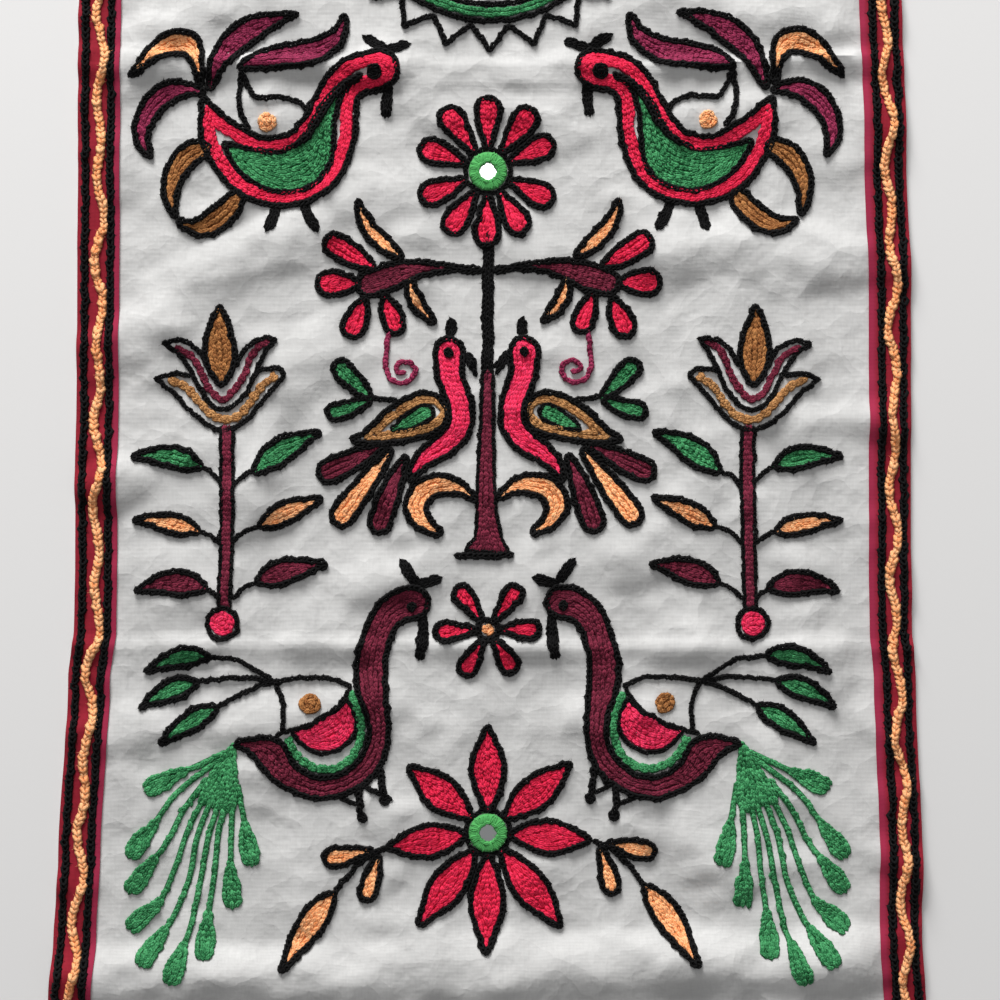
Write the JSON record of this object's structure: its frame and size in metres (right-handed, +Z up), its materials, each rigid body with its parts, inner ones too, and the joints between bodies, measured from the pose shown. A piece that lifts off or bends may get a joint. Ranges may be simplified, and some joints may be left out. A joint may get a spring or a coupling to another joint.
{
  "type": "chain-stitch embroidered cotton cloth",
  "caption": "Cut length of off-white cotton laid face up in soft folds, with crimson side bands and mirror discs in worked rings, ground for bird and flower chain-stitch embroidery.",
  "frame": {"origin": "middle of the cloth's outline, on the surface that the cloth lies on", "axes": "+Y along the cloth to the upper end of the design, +X across it to the design's right, +Z up out of the embroidered face"},
  "size_m": [0.438, 0.524, 0.0099],
  "materials": {
    "ground_cotton": "plain weave, matt",
    "band_cotton": "plain weave, matt",
    "mirror_glass": "silvered glass",
    "ring_yarn": "worked yarn",
    "black_yarn": "chain-stitched yarn",
    "crimson_yarn": "chain-stitched yarn",
    "wine_yarn": "chain-stitched yarn",
    "green_yarn": "chain-stitched yarn",
    "orange_yarn": "chain-stitched yarn",
    "ochre_yarn": "chain-stitched yarn"
  },
  "bodies": {
    "root": {"ground_cloth": "ground_cotton", "band_left": "band_cotton", "band_right": "band_cotton", "mirror_upper": "mirror_glass", "mirror_lower": "mirror_glass", "ring_upper": "ring_yarn", "ring_lower": "ring_yarn"}
  },
  "joints": []
}
